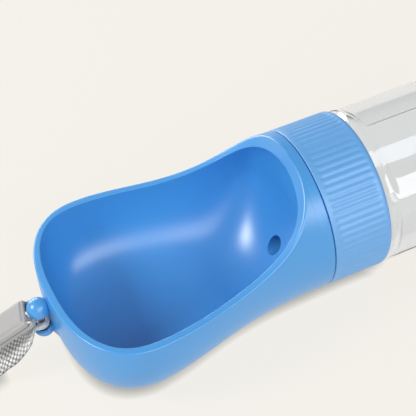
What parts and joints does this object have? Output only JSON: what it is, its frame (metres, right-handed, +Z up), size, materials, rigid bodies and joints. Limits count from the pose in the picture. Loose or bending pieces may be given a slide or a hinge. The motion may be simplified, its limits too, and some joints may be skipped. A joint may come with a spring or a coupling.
{
  "type": "dog travel water bottle",
  "caption": "Clear water bottle with a twist valve collar that joins it to a wide drinking bowl, lying on its side, with a webbing wrist strap on a lug at the bowl's tip.",
  "frame": {"origin": "middle of the ground under the bottle and bowl, without the wrist strap", "axes": "+X along the bottle's axis from the bowl's tip to the bottle's base, +Z up out of the open bowl, +Y away from the viewer of the picture"},
  "size_m": [0.3764, 0.0932, 0.0701],
  "materials": {
    "bowl_blue": "satin moulded",
    "collar_blue": "satin moulded, ribbed",
    "clear_bottle": "clear, glossy",
    "insert_plastic": "moulded",
    "disc_plastic": "moulded",
    "glide_nylon": "smooth",
    "outlet_rubber": "soft, matt",
    "oring_rubber": "soft, matt",
    "gasket_rubber": "soft, translucent",
    "steel": "plain",
    "webbing": "coarse grey, white and black weave",
    "clip_plastic": "fine satin moulded"
  },
  "bodies": {
    "bowl": {"trough": "bowl_blue", "lug_pin": "steel", "outlet_seal": "outlet_rubber", "retaining_ring": "steel", "glide_washer": "glide_nylon", "pivot_oring": "oring_rubber", "pivot_washer": "steel", "pivot_spring": "steel", "pivot_screw": "steel"},
    "collar": {"collar": "collar_blue", "threaded_insert": "insert_plastic", "valve_disc": "disc_plastic", "insert_oring": "oring_rubber"},
    "neck_seal": {"bottle_gasket": "gasket_rubber"},
    "bottle": {"bottle": "clear_bottle"},
    "strap": {"strap_webbing": "webbing", "clip_top": "clip_plastic", "clip_bottom": "clip_plastic", "clip_clamp": "steel", "clip_pins": "steel"}
  },
  "joints": [
    {"name": "valve_twist", "type": "hinge", "parent": "bowl", "child": "collar", "pos_m": [-0.0082, 0, 0.035], "axis": [1, 0, 0], "range_deg": [0, 60]},
    {"name": "bottle_travel", "type": "slide", "parent": "collar", "child": "neck_seal", "axis": [1, 0, 0], "range_m": [0, 0.00605]},
    {"name": "bottle_turn", "type": "hinge", "parent": "neck_seal", "child": "bottle", "pos_m": [-0.0082, 0, 0.035], "axis": [1, 0, 0], "range_deg": [0, 540]},
    {"name": "strap_swing", "type": "hinge", "parent": "bowl", "child": "strap", "pos_m": [-0.1261, 0, 0.0264], "axis": [0, 0, 1], "range_deg": [-45, 60]}
  ],
  "couplings": [
    {"joint": "bottle_travel", "follows": "bottle_turn", "m_per_rad": 0.00063662}
  ]
}
